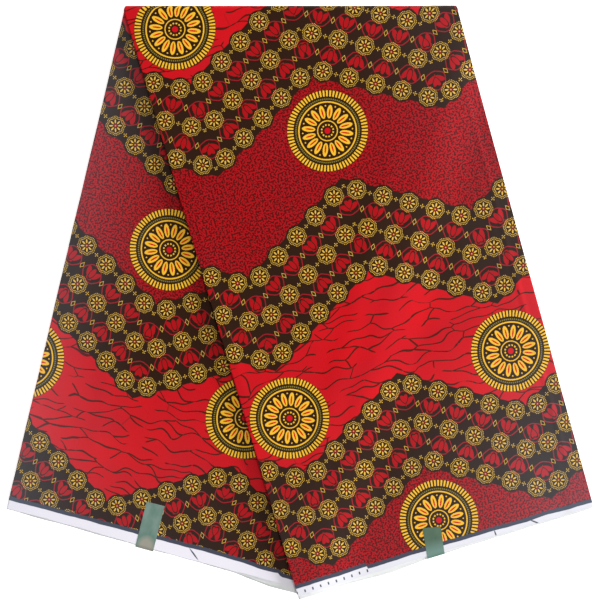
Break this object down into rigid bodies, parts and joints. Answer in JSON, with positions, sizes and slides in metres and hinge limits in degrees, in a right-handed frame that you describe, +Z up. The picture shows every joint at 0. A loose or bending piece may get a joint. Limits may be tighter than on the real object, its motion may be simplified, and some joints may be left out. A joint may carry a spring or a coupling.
{
  "type": "folded wax print fabric",
  "caption": "Length of printed cotton cloth, folded lengthways into a flat strip of plies and again across, lying flat with its legs fanned apart and a bare label on each.",
  "frame": {"origin": "middle of the part's footprint, on the surface that it lies on", "axes": "+Z up from that surface, +Y towards the top fold, +X to the right seen from above with the top fold away from the viewer"},
  "size_m": [0.6304, 0.6345, 0.0142],
  "materials": {
    "printed_cotton": "plain woven cotton with a wax print in crimson, golden yellow and brown black, calendered to a slight sheen, with a white selvedge",
    "folded_edges": "the same printed cotton, seen at the folds of its hidden plies and at their white selvedges",
    "label_film": "bare dark green label film, half matt"
  },
  "bodies": {
    "root": {"front_face_ply": "printed_cotton", "back_face_ply": "printed_cotton", "hidden_layers": "folded_edges", "front_label": "label_film", "back_label": "label_film"}
  },
  "joints": []
}
